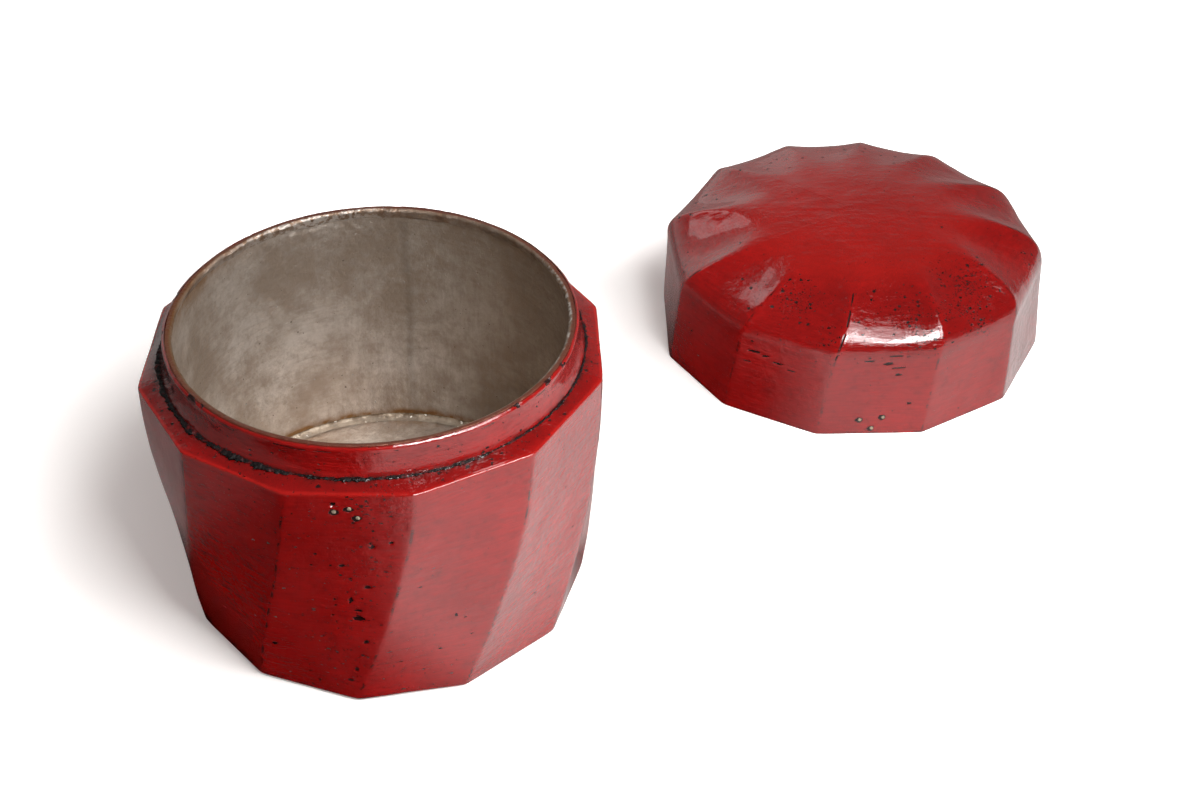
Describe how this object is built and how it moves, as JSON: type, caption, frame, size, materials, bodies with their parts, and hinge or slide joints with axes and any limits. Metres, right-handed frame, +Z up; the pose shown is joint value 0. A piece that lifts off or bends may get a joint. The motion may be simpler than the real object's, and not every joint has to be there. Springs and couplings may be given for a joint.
{
  "type": "lacquer box",
  "caption": "Round lidded box of carved wood in red lacquer, with twisted facets, a tin-lined well and a lift-off domed lid that fits over its neck.",
  "frame": {"origin": "middle of the flat underside of the body, on the surface that it stands on", "axes": "+Z up along the axis of the body, -Y towards the facet with the pegs; the lid lies beside the body towards +X and +Y"},
  "size_m": [0.3802, 0.349, 0.1243],
  "materials": {
    "lacquer": "glossy red lacquer over a dark ground, worn on the ridges",
    "tin": "dull grey tin with brushed marks",
    "stained_tin": "tin stained ochre and brown",
    "peg": "dull pale metal"
  },
  "bodies": {
    "box_body": {"body_shell": "lacquer", "neck_ring": "lacquer", "body_lining_wall": "tin", "body_lining_floor": "tin", "floor_bead": "stained_tin", "rim_strip": "stained_tin", "body_peg_1": "peg", "body_peg_2": "peg", "body_peg_3": "peg"},
    "lid": {"lid_shell": "lacquer", "lid_lining_wall": "tin", "lid_lining_crown": "tin", "lid_peg_1": "peg", "lid_peg_2": "peg", "lid_peg_3": "peg"}
  },
  "joints": [
    {"name": "lid_lift", "type": "slide", "parent": "box_body", "child": "lid", "axis": [0, 0, 1], "range_m": [0, 0.15]}
  ]
}
